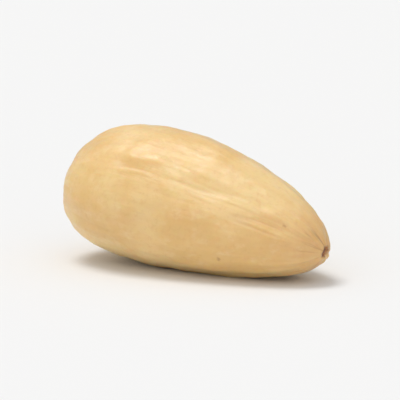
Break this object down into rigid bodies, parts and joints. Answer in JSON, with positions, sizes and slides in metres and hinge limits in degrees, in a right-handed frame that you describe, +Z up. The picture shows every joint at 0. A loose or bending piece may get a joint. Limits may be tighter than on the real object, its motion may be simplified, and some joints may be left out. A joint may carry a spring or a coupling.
{
  "type": "pine nut",
  "caption": "Shelled pine nut kernel: a slim, slightly bowed teardrop with a rounded blunt end and a small pitted tip, lying on its side. For food scenes, bowls and scatter.",
  "frame": {"origin": "on the ground, under the middle of the kernel's box as it lies on its side", "axes": "+X along the kernel towards its narrow tip, +Y across it, +Z up"},
  "size_m": [0.013, 0.0066, 0.0061],
  "materials": {
    "kernel": "satin"
  },
  "bodies": {
    "root": {"kernel": "kernel"}
  },
  "joints": []
}
